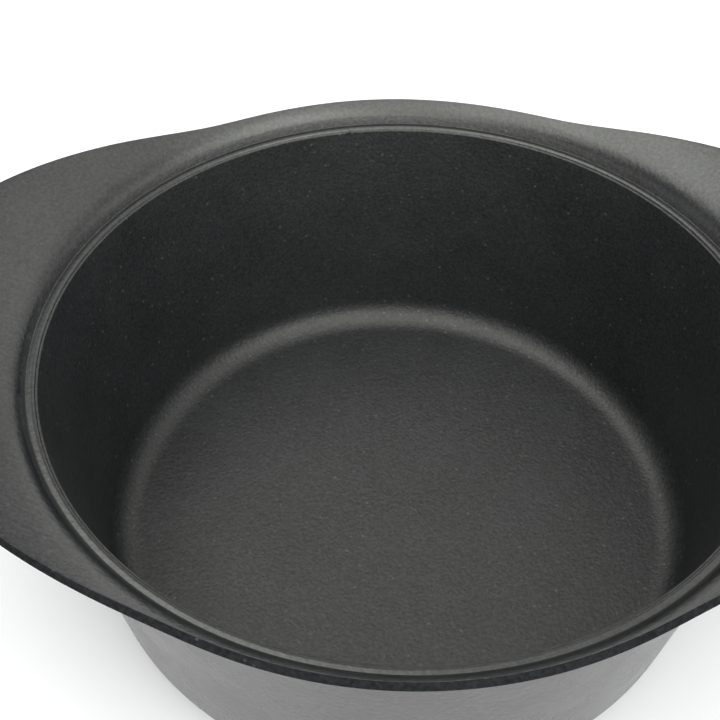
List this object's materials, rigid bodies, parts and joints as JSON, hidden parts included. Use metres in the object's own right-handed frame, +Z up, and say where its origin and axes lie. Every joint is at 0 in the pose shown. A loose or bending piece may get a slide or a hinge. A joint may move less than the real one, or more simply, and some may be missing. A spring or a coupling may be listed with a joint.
{
  "type": "dutch oven",
  "caption": "Open cast iron cooking pot with broad wing lips as handles and a seat for its domed lid, which stands beside it and carries a screwed-on knob.",
  "frame": {"origin": "centre of the pot's flat base, on the surface it stands on", "axes": "+X along the wing lips, away from the lid; +Z up; +Y towards the pot's back, away from the side where the lid stands"},
  "size_m": [0.5101, 0.3357, 0.1105],
  "materials": {
    "pot_iron": "matte black baked coating over a fine sand-cast grain",
    "lid_iron": "matte black baked coating over a fine sand-cast grain",
    "knob_plastic": "satin moulded phenolic",
    "stainless": "fine turned brushing",
    "brass": "plain turned"
  },
  "bodies": {
    "pot": {"pot_body": "pot_iron"},
    "lid": {"lid": "lid_iron", "lid_knob": "knob_plastic", "knob_collar": "stainless", "knob_insert": "brass", "knob_washer": "stainless", "knob_screw": "stainless"}
  },
  "joints": [
    {"name": "lid_lift", "type": "slide", "parent": "pot", "child": "lid", "axis": [0, 0, 1], "range_m": [0, 0.16]}
  ]
}
